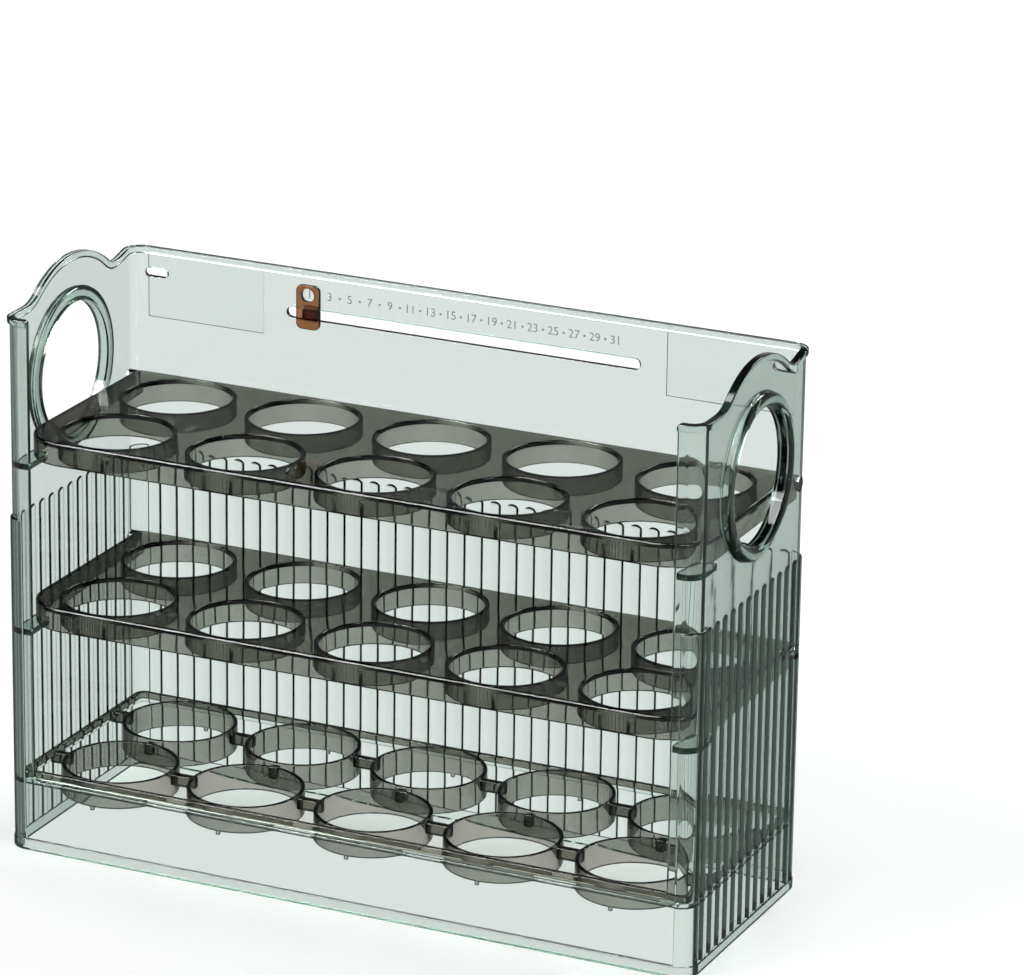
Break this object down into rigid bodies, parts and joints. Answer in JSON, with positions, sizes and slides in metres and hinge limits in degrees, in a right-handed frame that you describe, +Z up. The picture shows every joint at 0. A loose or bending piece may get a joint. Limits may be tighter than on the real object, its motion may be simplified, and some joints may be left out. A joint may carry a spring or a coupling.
{
  "type": "egg storage box",
  "caption": "Open-front tiered egg keeper of clear ribbed plastic with round hand holes, flip-up cup trays and a sliding date marker.",
  "frame": {"origin": "middle of the footprint, on the surface that the box stands on", "axes": "+X along the width, to the right seen from the front; +Y from the open front to the back wall; +Z up"},
  "size_m": [0.263, 0.0942, 0.203],
  "materials": {
    "case_plastic": "clear polished, faint green-grey tint",
    "tray_plastic": "clear polished, dark smoke tint",
    "marker_plastic": "translucent amber-brown"
  },
  "bodies": {
    "case_body": {"case": "case_plastic", "bottom_tray": "tray_plastic"},
    "middle_tray_body": {"middle_tray": "tray_plastic"},
    "top_tray_body": {"top_tray": "tray_plastic"},
    "date_marker_body": {"date_marker": "marker_plastic"}
  },
  "joints": [
    {"name": "top_tray_hinge", "type": "hinge", "parent": "case_body", "child": "top_tray_body", "pos_m": [0, 0.0403, 0.1472], "axis": [-1, 0, 0], "range_deg": [0, 88]},
    {"name": "middle_tray_hinge", "type": "hinge", "parent": "case_body", "child": "middle_tray_body", "pos_m": [0, 0.0403, 0.0872], "axis": [-1, 0, 0], "range_deg": [0, 38]},
    {"name": "date_marker_slide", "type": "slide", "parent": "case_body", "child": "date_marker_body", "axis": [1, 0, 0], "range_m": [0, 0.116]}
  ]
}
